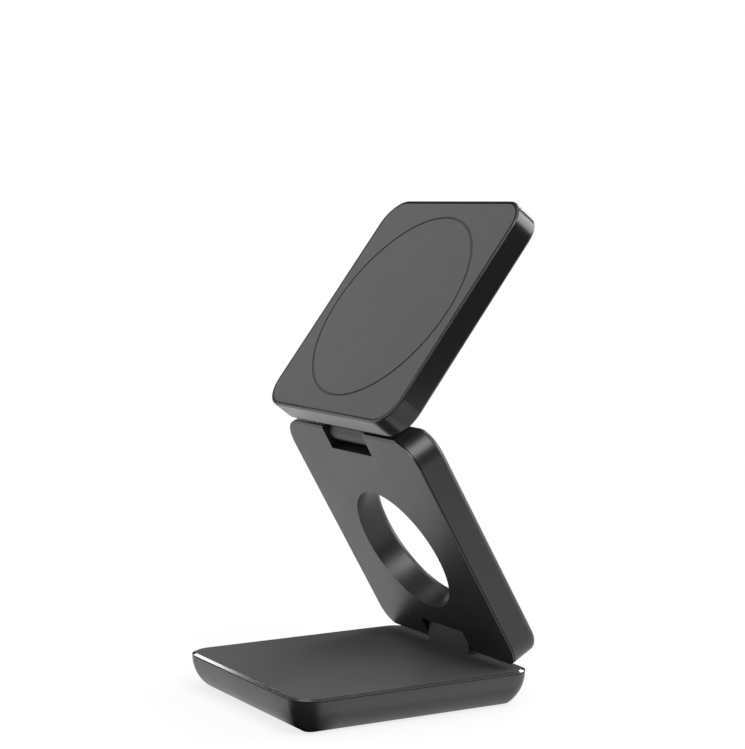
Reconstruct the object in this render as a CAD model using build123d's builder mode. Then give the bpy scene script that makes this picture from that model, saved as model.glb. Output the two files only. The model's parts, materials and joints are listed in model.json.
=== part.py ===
# Three in one folding wireless charger: a flat base tray, an arm with a round window that is
# hinged at the base's rear edge, and a phone panel that is hinged at the arm's upper end.
# Millimetres, +Z up, +Y to the rear, origin on the table under the middle of the base.
import os
from math import atan2, cos, degrees, radians, sin, tan

from build123d import *

os.makedirs("parts", exist_ok=True)

# Plates
PLATE_W = 62.0  # across the hinges
PLATE_L = 64.0  # from the hinged end to the free end
CORNER_R = 6.0  # of the base and the arm's lower end
TOP_CORNER_R = 7.5  # of the panel and the arm's upper end
BASE_H = 8.8
ARM_T = 8.0
PANEL_T = 6.4
ARM_LEAN = 60.5  # degrees between the arm and the base
PANEL_LEAN = 52.7  # degrees between the panel and the base
FOLD_GAP = 1.0  # between two plates that are folded together

# Hinges
HINGE_INSET = 2.2  # from the end of the base or the panel to its hinge axis
ARM_END = 2.9  # from a hinge axis to the arm's end
KNUCKLE_W = 19.0
KNUCKLE_R = 3.0
FLANGE_T = 1.1
FLANGE_W = 32.0
FLANGE_REACH = 6.5  # from the axis towards the middle of the plate
FLANGE_START = 0.5  # from the axis to the flange's edge beside the end wall
PIN_R = 1.0
PIN_BORE_R = 0.5
RUNNING_FIT = 0.05  # radial, pin in the knuckle
SLIDING_FIT = 0.02  # radial, pin in a bush and bush in its saddle
NOTCH_GAP = 0.4  # knuckle to the arm's notch
BUSH_R = 1.6
BUSH_L = 8.0
WASHER_R = 2.2
WASHER_T = 0.3
SLOT_FIT = 0.05  # pedestal in its slot, each side

# Base
LID_T = 1.6
LID_EDGE = 0.1  # upright band at the lid's widest place
LIP_IN = 1.0  # sloping lip, across
LIP_DOWN = 0.4  # sloping lip, down
LIP_EASE = 0.8
SEAM_GAP = 0.2
SEAM_DEPTH = 0.6
PLUG_FIT = 0.15
DRAFT = 19.0  # of the tray's inner walls
TRAY_SIDE_R = 9.5  # arc of the tray's sides, upright at the rim
TRAY_SECTIONS = 6
TRAY_WALL = 1.8
TRAY_FLOOR = 2.0
TRAY_EDGE_R = 0.5
FOOT_T = 1.0
FOOT_PROUD = 0.25
FOOT_IN = 6.0  # from the plate's outline
FOOT_R = 4.5
FOOT_FIT = 0.1
SCREW_IN = 8.75  # from the plate's outline
SCREW_R = 1.0
SCREW_HEAD_R = 1.9
SCREW_HEAD_T = 0.8
SCREW_L = 4.0
SCREW_FIT = 0.1
BOSS_R = 2.4

# Power inlet and electronics of the base
INLET_W = 8.9
INLET_H = 3.2
INLET_L = 7.3
INLET_WALL = 0.3
INLET_FIT = 0.15
INLET_RECESS = 0.8
INLET_LIFT = 0.2  # above the tray's floor
TONGUE_W = 6.7
TONGUE_T = 0.7
TONGUE_L = 4.5
BOARD_T = 0.8
BOARD_L = 18.0
BOARD_FIT = 0.2
CHIP_T = 0.6
POST_R = 1.6
WEIGHT_T = 2.6
INSIDE_GAP = 1.4  # round the weight and the boards
EARBUD_Y = -3.0
EARBUD_COIL_R = 14.5
EARBUD_COIL_BORE = 6.0
EARBUD_COIL_T = 0.9
FERRITE_T = 0.6
FERRITE_MARGIN = 1.0

# Arm
ARM_WALL = 2.0
ARM_BACK = 1.5
ARM_RIM = 0.7
ARM_REAR_R = 1.8
ARM_END_R = 0.8
ARM_END_REAR_R = 3.0
ARM_PLATE_T = 1.2
ARM_LIP_T = 0.35  # plate's edge over the shell's rim
PLATE_FIT = 0.15
WINDOW_Y = 26.35  # from the lower hinge axis
WINDOW_R = 17.2
WINDOW_REAR_R = 1.5
BLOCK_WALL = 1.8  # plastic round a bush and behind the notch
FLEX_W = 5.0
FLEX_T = 0.3
FLEX_BEND = 4.0

# Panel
PANEL_WALL = 1.8
PANEL_BACK = 1.5
PANEL_RIM = 0.8
PANEL_EDGE_R = 0.8
PANEL_FRONT_R = 0.4
FACE_T = 1.2
RING_GROOVE_W = 0.7
RING_GROOVE_DEPTH = 0.25
MAGNET_GAP = 2.2  # to the panel's side walls
MAGNET_BAND = 3.8
MAGNET_T = 1.8
MAGNET_COUNT = 18
MAGNET_SPACE = 0.8
PHONE_COIL_GAP = 1.7  # to the magnets
PHONE_COIL_BORE = 10.5
PHONE_COIL_T = 1.0
PANEL_BOARD_W = 30.0
PANEL_BOARD_L = 9.0
PANEL_BOARD_LIFT = 0.4
CLAMP_R = 1.5
CLAMP_X = 13.0

# Watch puck on the panel's back
PUCK_R = 14.5
PUCK_H = 5.6
PUCK_WALL = 1.4
PUCK_FLOOR = 1.5
PUCK_EDGE_R = 0.9
CAP_T = 1.5
CAP_FIT = 0.1
CAP_LEDGE = 0.9
DISH_R = 75.0
DISH_RIM = 1.2
WATCH_COIL_R = 11.4
WATCH_COIL_BORE = 5.4
WATCH_COIL_T = 1.0
WATCH_MAGNET_R = 4.2
PUCK_SCREWS = 3
PUCK_SCREW_OUT = 8.4  # from the puck's centre
PUCK_SCREW_R = 0.8
PUCK_SCREW_HEAD_R = 1.5
PUCK_SCREW_HEAD_T = 0.6
PUCK_SCREW_L = 2.6
WIRE_HOLE_R = 2.0

# Levels and places in the base
lid_edge_z = BASE_H - LIP_DOWN - LID_EDGE
tray_rim_z = lid_edge_z - SEAM_GAP
lid_under_z = BASE_H - LID_T
tray_floor_z = FOOT_PROUD + TRAY_FLOOR
foot_top_z = FOOT_T
foot_w = PLATE_W - 2 * FOOT_IN
foot_l = PLATE_L - 2 * FOOT_IN
screw_x = PLATE_W / 2 - SCREW_IN
screw_y = PLATE_L / 2 - SCREW_IN


def side_inset(level):
    """How far the tray's curved side lies inside the outline at a level."""
    return TRAY_SIDE_R - (TRAY_SIDE_R**2 - (tray_rim_z - level) ** 2) ** 0.5


inlet_z = tray_floor_z + INLET_LIFT + INLET_H / 2
board_z = inlet_z - BOARD_T / 2
bay_w = 2 * (screw_x - BOSS_R - INSIDE_GAP)
draft_slope = tan(radians(DRAFT))
inlet_mouth_y = PLATE_L / 2 - side_inset(inlet_z) - INLET_RECESS
board_y = inlet_mouth_y - INLET_L + TONGUE_L / 2 - BOARD_L / 2
floor_front_y = TRAY_WALL + (tray_rim_z - tray_floor_z) * draft_slope - PLATE_L / 2

# Frames of the arm and the panel, both with x across, y along the plate and z to its front
axis_lift = FOLD_GAP + ARM_T / 2
pivot_span = PLATE_L - HINGE_INSET - ARM_END
arm_l = pivot_span + 2 * ARM_END
arm_lean = radians(ARM_LEAN)
panel_lean = radians(PANEL_LEAN)
low_axis = Vector(0, PLATE_L / 2 - HINGE_INSET, BASE_H + axis_lift)
arm_along = Vector(0, -cos(arm_lean), sin(arm_lean))
arm_front = Vector(0, -sin(arm_lean), -cos(arm_lean))
top_axis = low_axis + arm_along * pivot_span
panel_along = Vector(0, cos(panel_lean), sin(panel_lean))
panel_front = Vector(0, -sin(panel_lean), cos(panel_lean))
arm_frame = Plane(origin=low_axis, x_dir=(1, 0, 0), z_dir=arm_front)
arm_side = Plane(origin=low_axis, x_dir=arm_along, z_dir=(1, 0, 0))
panel_frame = Plane(origin=top_axis, x_dir=(1, 0, 0), z_dir=panel_front)
panel_side = Plane(origin=top_axis, x_dir=panel_along, z_dir=(1, 0, 0))
base_side = Plane(origin=low_axis, x_dir=(0, -1, 0), z_dir=(-1, 0, 0))
panel_mid = PLATE_L / 2 - HINGE_INSET

# Levels of the arm and the panel, along their own z
arm_seat = ARM_T / 2 - ARM_PLATE_T
arm_inside = ARM_BACK - ARM_T / 2
panel_rear = axis_lift
panel_inside = panel_rear + PANEL_BACK
panel_top = panel_rear + PANEL_T
face_under = panel_top - FACE_T
puck_y = pivot_span - WINDOW_Y
panel_board_y = PLATE_L - HINGE_INSET - PANEL_WALL - INSIDE_GAP - PANEL_BOARD_L / 2
magnet_out_r = min(PLATE_W, PLATE_L) / 2 - PANEL_WALL - MAGNET_GAP
magnet_in_r = magnet_out_r - MAGNET_BAND
phone_coil_r = magnet_in_r - PHONE_COIL_GAP
cheek_x = KNUCKLE_W / 2 + NOTCH_GAP
notch_reach = KNUCKLE_R + NOTCH_GAP
block_reach = notch_reach + BLOCK_WALL
block_x = cheek_x + BUSH_L + BLOCK_WALL
pin_l = 2 * (cheek_x + BUSH_L)


def save(builder, name):
    """Label a finished piece and write it as its own file."""
    builder.part.label = name
    export_step(builder.part, f"parts/{name}.step")


def arm_outline(level, inset):
    """The arm's outline at a level of its frame, drawn in by an inset."""
    with BuildSketch(arm_frame.offset(level), mode=Mode.PRIVATE) as outline:
        with Locations((0, pivot_span / 2)):
            Rectangle(PLATE_W - 2 * inset, arm_l - 2 * inset)
        fillet(outline.vertices().sort_by(Axis.Y)[:2], CORNER_R - inset)
        fillet(outline.vertices().sort_by(Axis.Y)[-2:], TOP_CORNER_R - inset)
    return outline.sketch


# Base tray with curved sides, open at the top, with a slot for the power inlet in its rear wall
tray_top = Plane(origin=(0, 0, tray_rim_z), x_dir=(1, 0, 0), z_dir=(0, 0, -1))
with BuildPart() as base_tray:
    for section in range(TRAY_SECTIONS + 1):
        section_z = tray_rim_z - (tray_rim_z - FOOT_PROUD) * section / TRAY_SECTIONS
        section_in = side_inset(section_z)
        with BuildSketch(Plane.XY.offset(section_z)):
            RectangleRounded(PLATE_W - 2 * section_in, PLATE_L - 2 * section_in, CORNER_R - section_in)
    loft()
    fillet(base_tray.faces().sort_by(Axis.Z)[0].edges(), TRAY_EDGE_R)
    with BuildSketch(tray_top):
        RectangleRounded(PLATE_W - 2 * TRAY_WALL, PLATE_L - 2 * TRAY_WALL, CORNER_R - TRAY_WALL)
    extrude(amount=tray_rim_z - tray_floor_z, taper=DRAFT, mode=Mode.SUBTRACT)
    # seat of the foot pad
    with BuildSketch(Plane.XY.offset(FOOT_PROUD)):
        RectangleRounded(foot_w + 2 * FOOT_FIT, foot_l + 2 * FOOT_FIT, FOOT_R + FOOT_FIT)
    extrude(amount=foot_top_z - FOOT_PROUD, mode=Mode.SUBTRACT)
    # screw holes, sunk for the heads from below
    with BuildSketch(Plane.XY.offset(foot_top_z)):
        with GridLocations(2 * screw_x, 2 * screw_y, 2, 2):
            Circle(SCREW_R + SCREW_FIT)
    extrude(amount=TRAY_FLOOR, mode=Mode.SUBTRACT)
    with BuildSketch(Plane.XY.offset(FOOT_PROUD)):
        with GridLocations(2 * screw_x, 2 * screw_y, 2, 2):
            Circle(SCREW_HEAD_R + SCREW_FIT)
    extrude(amount=foot_top_z + SCREW_HEAD_T - FOOT_PROUD, mode=Mode.SUBTRACT)
    # slot for the inlet, posts for the board and posts under the knuckle's flange
    with BuildSketch(Plane.XZ.offset(-PLATE_L / 2)):
        with Locations((0, inlet_z)):
            SlotOverall(INLET_W + 2 * INLET_FIT, INLET_H + 2 * INLET_FIT)
    extrude(amount=INLET_L, mode=Mode.SUBTRACT)
    with BuildSketch(Plane.XY.offset(tray_floor_z)):
        with Locations((0, board_y)):
            with GridLocations(bay_w - 4 * POST_R, BOARD_L - 4 * POST_R, 2, 2):
                Circle(POST_R)
    extrude(amount=board_z - tray_floor_z)
    with BuildSketch(Plane.XY.offset(tray_floor_z)):
        with Locations((-CLAMP_X, low_axis.Y - KNUCKLE_R), (CLAMP_X, low_axis.Y - KNUCKLE_R)):
            Circle(CLAMP_R)
    extrude(amount=lid_under_z - FLANGE_T - tray_floor_z)
save(base_tray, "base_tray")

# Base lid with a sloping lip, a shadow seam above the tray and screw bosses below
with BuildPart() as base_lid:
    with BuildSketch(Plane.XY.offset(lid_edge_z)):
        RectangleRounded(PLATE_W, PLATE_L, CORNER_R)
    extrude(amount=LID_EDGE)
    with BuildSketch(Plane.XY.offset(lid_edge_z + LID_EDGE)):
        RectangleRounded(PLATE_W, PLATE_L, CORNER_R)
    extrude(amount=LIP_DOWN, taper=degrees(atan2(LIP_IN, LIP_DOWN)))
    fillet(base_lid.faces().sort_by(Axis.Z)[-1].edges(), LIP_EASE)
    with BuildSketch(Plane.XY.offset(tray_rim_z)):
        RectangleRounded(PLATE_W - 2 * SEAM_DEPTH, PLATE_L - 2 * SEAM_DEPTH, CORNER_R - SEAM_DEPTH)
    extrude(amount=SEAM_GAP)
    plug_in = TRAY_WALL + (tray_rim_z - lid_under_z) * draft_slope + PLUG_FIT
    with BuildSketch(Plane.XY.offset(lid_under_z)):
        RectangleRounded(PLATE_W - 2 * plug_in, PLATE_L - 2 * plug_in, CORNER_R - plug_in)
    extrude(amount=tray_rim_z - lid_under_z)
    with BuildSketch(Plane.XY.offset(tray_floor_z)):
        with GridLocations(2 * screw_x, 2 * screw_y, 2, 2):
            Circle(BOSS_R)
            Circle(SCREW_R, mode=Mode.SUBTRACT)
    extrude(amount=lid_under_z - tray_floor_z)
    # slot for the knuckle's foot
    with BuildSketch(Plane.XY.offset(lid_under_z)):
        with Locations((0, low_axis.Y - KNUCKLE_R / 2)):
            Rectangle(KNUCKLE_W + 2 * SLOT_FIT, KNUCKLE_R + 2 * SLOT_FIT)
    extrude(amount=LID_T, mode=Mode.SUBTRACT)
save(base_lid, "base_lid")

with BuildPart() as foot_pad:
    with BuildSketch():
        RectangleRounded(foot_w, foot_l, FOOT_R)
    extrude(amount=FOOT_T)
save(foot_pad, "foot_pad")

# Screws that hold the tray to the lid's bosses, heads under the foot pad
with BuildPart() as base_screws:
    with BuildSketch(Plane.XY.offset(foot_top_z)):
        with GridLocations(2 * screw_x, 2 * screw_y, 2, 2):
            Circle(SCREW_HEAD_R)
    extrude(amount=SCREW_HEAD_T)
    with BuildSketch(Plane.XY.offset(foot_top_z + SCREW_HEAD_T)):
        with GridLocations(2 * screw_x, 2 * screw_y, 2, 2):
            Circle(SCREW_R)
    extrude(amount=SCREW_L)
save(base_screws, "base_screws")

# Steel weight on the tray's floor, in front of the board
with BuildPart() as counterweight:
    weight_front = floor_front_y + INSIDE_GAP
    weight_rear = board_y - BOARD_L / 2 - INSIDE_GAP
    with BuildSketch(Plane.XY.offset(tray_floor_z)):
        with Locations((0, (weight_front + weight_rear) / 2)):
            RectangleRounded(bay_w, weight_rear - weight_front, POST_R)
    extrude(amount=WEIGHT_T)
save(counterweight, "counterweight")

# Power inlet: a stadium shell with a tongue, set into the board's rear edge
with BuildPart() as usb_c_socket:
    with BuildSketch(Plane.XZ.offset(-inlet_mouth_y)):
        with Locations((0, inlet_z)):
            SlotOverall(INLET_W, INLET_H)
            SlotOverall(INLET_W - 2 * INLET_WALL, INLET_H - 2 * INLET_WALL, mode=Mode.SUBTRACT)
    extrude(amount=INLET_L)
    with BuildSketch(Plane.XZ.offset(-inlet_mouth_y + INLET_L - INLET_WALL)):
        with Locations((0, inlet_z)):
            SlotOverall(INLET_W, INLET_H)
    extrude(amount=INLET_WALL)
save(usb_c_socket, "usb_c_socket")

with BuildPart() as usb_c_tongue:
    with BuildSketch(Plane.XZ.offset(-inlet_mouth_y + INLET_L - INLET_WALL - TONGUE_L)):
        with Locations((0, inlet_z)):
            RectangleRounded(TONGUE_W, TONGUE_T, TONGUE_T / 4)
    extrude(amount=TONGUE_L)
save(usb_c_tongue, "usb_c_tongue")

# Main board on four posts, notched round the inlet, with its chips
with BuildPart() as main_board:
    with BuildSketch(Plane.XY.offset(board_z)):
        with Locations((0, board_y)):
            RectangleRounded(bay_w, BOARD_L, POST_R)
        with Locations((0, inlet_mouth_y - INLET_L / 2)):
            Rectangle(INLET_W + 2 * BOARD_FIT, INLET_L + 2 * BOARD_FIT, mode=Mode.SUBTRACT)
    extrude(amount=BOARD_T)
    with BuildSketch(Plane.XY.offset(board_z + BOARD_T)):
        with Locations((0, board_y - BOARD_L / 4)):
            with GridLocations(bay_w / 4, 1, 4, 1):
                Rectangle(bay_w / 8, BOARD_L / 4)
    extrude(amount=CHIP_T)
save(main_board, "main_board")

# Charging coil under the lid and its ferrite sheet
with BuildPart() as earbud_coil:
    with BuildSketch(Plane.XY.offset(lid_under_z - EARBUD_COIL_T)):
        with Locations((0, EARBUD_Y)):
            Circle(EARBUD_COIL_R)
            Circle(EARBUD_COIL_BORE, mode=Mode.SUBTRACT)
    extrude(amount=EARBUD_COIL_T)
save(earbud_coil, "earbud_coil")

with BuildPart() as earbud_ferrite:
    with BuildSketch(Plane.XY.offset(lid_under_z - EARBUD_COIL_T - FERRITE_T)):
        with Locations((0, EARBUD_Y)):
            Circle(EARBUD_COIL_R + FERRITE_MARGIN)
    extrude(amount=FERRITE_T)
save(earbud_ferrite, "earbud_ferrite")

# Knuckles: a barrel on a foot whose flange is trapped inside the plate that carries it
knuckle_places = (
    ("base_hinge_knuckle", base_side, -axis_lift, LID_T, -1),
    ("panel_hinge_knuckle", panel_side, axis_lift, PANEL_BACK, 1),
)
for knuckle_name, side, plate_level, skin, way in knuckle_places:
    with BuildPart() as knuckle:
        with BuildSketch(side):
            Circle(KNUCKLE_R)
            flange_level = plate_level + way * skin
            with Locations((KNUCKLE_R / 2, flange_level / 2)):
                Rectangle(KNUCKLE_R, abs(flange_level))
        extrude(amount=KNUCKLE_W / 2, both=True)
        with BuildSketch(side):
            with Locations(((FLANGE_REACH + FLANGE_START) / 2, flange_level + way * FLANGE_T / 2)):
                Rectangle(FLANGE_REACH - FLANGE_START, FLANGE_T)
        extrude(amount=FLANGE_W / 2, both=True)
        with BuildSketch(side):
            Circle(PIN_R + RUNNING_FIT)
        extrude(amount=KNUCKLE_W, both=True, mode=Mode.SUBTRACT)
    save(knuckle, knuckle_name)

# Pins, bushes and friction washers, the same at both hinges
for hinge, centre in (("base", low_axis), ("panel", top_axis)):
    across = Plane(origin=centre, x_dir=(0, 1, 0), z_dir=(1, 0, 0))
    with BuildPart() as pin:
        with BuildSketch(across):
            Circle(PIN_R)
            Circle(PIN_BORE_R, mode=Mode.SUBTRACT)
        extrude(amount=pin_l / 2, both=True)
    save(pin, f"{hinge}_hinge_pin")
    with BuildPart() as bushes:
        with BuildSketch(across.offset(cheek_x), across.offset(-cheek_x - BUSH_L)):
            Circle(BUSH_R)
            Circle(PIN_R + SLIDING_FIT, mode=Mode.SUBTRACT)
        extrude(amount=BUSH_L)
    save(bushes, f"{hinge}_hinge_bushes")
    with BuildPart() as washers:
        with BuildSketch(across.offset(cheek_x - WASHER_T), across.offset(-cheek_x)):
            Circle(WASHER_R)
            Circle(PIN_R + RUNNING_FIT, mode=Mode.SUBTRACT)
        extrude(amount=WASHER_T)
    save(washers, f"{hinge}_hinge_washers")

# Side view of the arm, with its edges rolled at both ends to turn past the other plates
with BuildSketch(arm_side) as arm_profile:
    with Locations((pivot_span / 2, 0)):
        Rectangle(arm_l, ARM_T)
    fillet(arm_profile.vertices().sort_by(Axis.Y)[-2:], ARM_END_R)
    fillet(arm_profile.vertices().sort_by(Axis.Y)[:2], ARM_END_REAR_R)

# Arm shell, open to the front: rolled rear edge, collar round the window, blocks for the bushes
with BuildPart() as arm_rear_shell:
    extrude(arm_outline(-ARM_T / 2, 0), amount=ARM_T - ARM_LIP_T - SEAM_GAP)
    fillet(arm_rear_shell.faces().sort_by(Axis(low_axis, arm_front))[0].edges(), ARM_REAR_R)
    extrude(arm_profile.sketch, amount=PLATE_W, both=True, mode=Mode.INTERSECT)
    extrude(arm_outline(arm_seat, ARM_RIM), amount=ARM_PLATE_T, mode=Mode.SUBTRACT)
    extrude(arm_outline(arm_inside, ARM_WALL), amount=arm_seat - arm_inside, mode=Mode.SUBTRACT)
    with BuildSketch(arm_frame.offset(arm_inside)):
        with Locations((0, WINDOW_Y)):
            Circle(WINDOW_R + ARM_WALL)
        for axis_y, outward in ((0, -1), (pivot_span, 1)):
            block_l = block_reach + ARM_END - ARM_WALL / 2
            with Locations((0, axis_y + outward * (ARM_END - ARM_WALL / 2 - block_l / 2))):
                Rectangle(2 * block_x, block_l)
    extrude(amount=arm_seat - arm_inside)
    with BuildSketch(arm_frame):
        with Locations((0, WINDOW_Y)):
            Circle(WINDOW_R)
    extrude(amount=ARM_T, both=True, mode=Mode.SUBTRACT)
    window_edges = arm_rear_shell.edges().filter_by(GeomType.CIRCLE)
    window_edges = window_edges.filter_by(lambda edge: abs(edge.radius - WINDOW_R) < SLIDING_FIT)
    fillet(window_edges.sort_by(Axis(low_axis, arm_front))[0], WINDOW_REAR_R)
    # notches for the knuckles, and saddles that the bushes drop into from the front
    with BuildSketch(arm_frame):
        for axis_y, outward in ((0, -1), (pivot_span, 1)):
            with Locations((0, axis_y + outward * (ARM_END - notch_reach) / 2)):
                Rectangle(2 * cheek_x, notch_reach + ARM_END)
    extrude(amount=ARM_T, both=True, mode=Mode.SUBTRACT)
    with BuildSketch(arm_side):
        for axis_y in (0, pivot_span):
            with Locations((axis_y, 0)):
                Circle(BUSH_R + SLIDING_FIT)
            with Locations((axis_y, arm_seat / 2)):
                Rectangle(2 * (BUSH_R + SLIDING_FIT), arm_seat)
    extrude(amount=cheek_x + BUSH_L, both=True, mode=Mode.SUBTRACT)
save(arm_rear_shell, "arm_rear_shell")

# Front plate: a plug in the shell's rim, an edge over it, and ribs that hold the bushes in their saddles
with BuildPart() as arm_front_plate:
    extrude(arm_outline(arm_seat, ARM_RIM + PLATE_FIT), amount=ARM_PLATE_T)
    extrude(arm_outline(ARM_T / 2 - ARM_LIP_T, 0), amount=ARM_LIP_T)
    extrude(arm_profile.sketch, amount=PLATE_W, both=True, mode=Mode.INTERSECT)
    with BuildSketch(arm_frame.offset(arm_seat)):
        with Locations((0, WINDOW_Y)):
            Circle(WINDOW_R)
        for axis_y, outward in ((0, -1), (pivot_span, 1)):
            with Locations((0, axis_y + outward * (ARM_END - notch_reach) / 2)):
                Rectangle(2 * cheek_x, notch_reach + ARM_END)
    extrude(amount=ARM_PLATE_T, mode=Mode.SUBTRACT)
    with BuildSketch(arm_frame.offset(BUSH_R)):
        for axis_y in (0, pivot_span):
            with Locations((0, axis_y)):
                with GridLocations(2 * cheek_x + BUSH_L, 1, 2, 1):
                    Rectangle(BUSH_L - 2 * PLATE_FIT, BUSH_R)
    extrude(amount=arm_seat - BUSH_R)
save(arm_front_plate, "arm_front_plate")

# Flat cable on the arm's inner back, round the window from hinge to hinge
with BuildPart() as arm_flex_cable:
    flex_low = block_reach + FLEX_W / 2
    flex_start = cheek_x + FLEX_W
    flex_x = (WINDOW_R + PLATE_W / 2) / 2
    with BuildSketch(arm_frame.offset(arm_inside)):
        with BuildLine() as flex_path:
            FilletPolyline(
                (-flex_start, flex_low),
                (-flex_x, flex_low),
                (-flex_x, pivot_span - flex_low),
                (-flex_start, pivot_span - flex_low),
                radius=FLEX_BEND,
            )
        trace(line_width=FLEX_W)
    extrude(amount=FLEX_T)
save(arm_flex_cable, "arm_flex_cable")

# Panel shell, open to the front, with a slot for the knuckle's foot and a wire hole to the puck
with BuildPart() as panel_shell:
    with BuildSketch(panel_frame.offset(panel_rear)):
        with Locations((0, panel_mid)):
            RectangleRounded(PLATE_W, PLATE_L, TOP_CORNER_R)
    extrude(amount=PANEL_T)
    fillet(panel_shell.faces().sort_by(Axis(top_axis, panel_front))[0].edges(), PANEL_EDGE_R)
    fillet(panel_shell.faces().sort_by(Axis(top_axis, panel_front))[-1].edges(), PANEL_FRONT_R)
    with BuildSketch(panel_frame.offset(face_under)):
        with Locations((0, panel_mid)):
            RectangleRounded(PLATE_W - 2 * PANEL_RIM, PLATE_L - 2 * PANEL_RIM, TOP_CORNER_R - PANEL_RIM)
    extrude(amount=FACE_T, mode=Mode.SUBTRACT)
    with BuildSketch(panel_frame.offset(panel_inside)):
        with Locations((0, panel_mid)):
            RectangleRounded(PLATE_W - 2 * PANEL_WALL, PLATE_L - 2 * PANEL_WALL, TOP_CORNER_R - PANEL_WALL)
    extrude(amount=face_under - panel_inside, mode=Mode.SUBTRACT)
    with BuildSketch(panel_frame.offset(panel_rear)):
        with Locations((0, KNUCKLE_R / 2)):
            Rectangle(KNUCKLE_W + 2 * SLOT_FIT, KNUCKLE_R + 2 * SLOT_FIT)
        with Locations((0, puck_y)):
            Circle(WIRE_HOLE_R)
            with PolarLocations(PUCK_SCREW_OUT, PUCK_SCREWS):
                Circle(PUCK_SCREW_R + SCREW_FIT)
    extrude(amount=PANEL_BACK, mode=Mode.SUBTRACT)
    # low ribs under the board
    with BuildSketch(panel_frame.offset(panel_inside)):
        with Locations((0, panel_board_y)):
            with GridLocations(PANEL_BOARD_W - 4 * POST_R, 1, 2, 1):
                Rectangle(POST_R, PANEL_BOARD_L)
    extrude(amount=PANEL_BOARD_LIFT)
save(panel_shell, "panel_shell")

# Panel face with a fine ring groove, set into the shell's rim, with posts onto the flange
with BuildPart() as panel_face:
    face_in = PANEL_RIM + PLATE_FIT
    with BuildSketch(panel_frame.offset(face_under)):
        with Locations((0, panel_mid)):
            RectangleRounded(PLATE_W - 2 * face_in, PLATE_L - 2 * face_in, TOP_CORNER_R - face_in)
    extrude(amount=FACE_T)
    with BuildSketch(panel_frame.offset(panel_top - RING_GROOVE_DEPTH)):
        with Locations((0, panel_mid)):
            Circle(magnet_out_r)
            Circle(magnet_out_r - RING_GROOVE_W, mode=Mode.SUBTRACT)
    extrude(amount=RING_GROOVE_DEPTH, mode=Mode.SUBTRACT)
    flange_top = panel_inside + FLANGE_T
    with BuildSketch(panel_frame.offset(flange_top)):
        with Locations((-CLAMP_X, CLAMP_R), (CLAMP_X, CLAMP_R)):
            Circle(CLAMP_R)
    extrude(amount=face_under - flange_top)
save(panel_face, "panel_face")

# Ring of magnets, charging coil and ferrite under the face
with BuildPart() as magnet_ring:
    with BuildSketch(panel_frame.offset(face_under - MAGNET_T)):
        with Locations((0, panel_mid)):
            Circle(magnet_out_r)
            Circle(magnet_in_r, mode=Mode.SUBTRACT)
            with PolarLocations(magnet_out_r, MAGNET_COUNT):
                Rectangle(magnet_out_r, MAGNET_SPACE, mode=Mode.SUBTRACT)
    extrude(amount=MAGNET_T)
save(magnet_ring, "magnet_ring")

with BuildPart() as phone_coil:
    with BuildSketch(panel_frame.offset(face_under - PHONE_COIL_T)):
        with Locations((0, panel_mid)):
            Circle(phone_coil_r)
            Circle(PHONE_COIL_BORE, mode=Mode.SUBTRACT)
    extrude(amount=PHONE_COIL_T)
save(phone_coil, "phone_coil")

with BuildPart() as phone_ferrite:
    with BuildSketch(panel_frame.offset(face_under - PHONE_COIL_T - FERRITE_T)):
        with Locations((0, panel_mid)):
            Circle(phone_coil_r + FERRITE_MARGIN)
    extrude(amount=FERRITE_T)
save(phone_ferrite, "phone_ferrite")

with BuildPart() as panel_board:
    with BuildSketch(panel_frame.offset(panel_inside + PANEL_BOARD_LIFT)):
        with Locations((0, panel_board_y)):
            Rectangle(PANEL_BOARD_W, PANEL_BOARD_L)
    extrude(amount=BOARD_T)
save(panel_board, "panel_board")

# Watch puck: a cup on the panel's back with a dished cap, a coil and a magnet
puck_frame = Plane(
    origin=top_axis + panel_along * puck_y + panel_front * panel_rear,
    x_dir=(1, 0, 0),
    z_dir=panel_front * -1,
)
cap_floor = PUCK_H - CAP_T
with BuildPart() as watch_puck_housing:
    with BuildSketch(puck_frame):
        Circle(PUCK_R)
    extrude(amount=PUCK_H)
    fillet(watch_puck_housing.faces().sort_by(Axis(top_axis, panel_front))[0].edges(), PUCK_EDGE_R)
    with BuildSketch(puck_frame.offset(cap_floor)):
        Circle(PUCK_R - PUCK_WALL)
    extrude(amount=CAP_T, mode=Mode.SUBTRACT)
    with BuildSketch(puck_frame.offset(PUCK_FLOOR)):
        Circle(PUCK_R - PUCK_WALL - CAP_LEDGE)
    extrude(amount=cap_floor - PUCK_FLOOR, mode=Mode.SUBTRACT)
    with BuildSketch(puck_frame.offset(PUCK_FLOOR)):
        with PolarLocations(PUCK_SCREW_OUT, PUCK_SCREWS):
            Circle(PUCK_SCREW_HEAD_R)
    extrude(amount=PUCK_SCREW_HEAD_T)
    with BuildSketch(puck_frame):
        with PolarLocations(PUCK_SCREW_OUT, PUCK_SCREWS):
            Circle(PUCK_SCREW_R)
        Circle(WIRE_HOLE_R)
    extrude(amount=PUCK_SCREW_L, mode=Mode.SUBTRACT)
save(watch_puck_housing, "watch_puck_housing")

with BuildPart() as watch_puck_cap:
    with BuildSketch(puck_frame.offset(cap_floor)):
        Circle(PUCK_R - PUCK_WALL - CAP_FIT)
    extrude(amount=CAP_T)
    dish_reach = PUCK_R - PUCK_WALL - CAP_FIT - DISH_RIM
    dish_rise = (DISH_R**2 - dish_reach**2) ** 0.5
    with Locations(puck_frame.offset(PUCK_H + dish_rise).location):
        Sphere(DISH_R, mode=Mode.SUBTRACT)
save(watch_puck_cap, "watch_puck_cap")

with BuildPart() as watch_coil:
    with BuildSketch(puck_frame.offset(cap_floor - WATCH_COIL_T)):
        Circle(WATCH_COIL_R)
        Circle(WATCH_COIL_BORE, mode=Mode.SUBTRACT)
    extrude(amount=WATCH_COIL_T)
save(watch_coil, "watch_coil")

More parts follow.
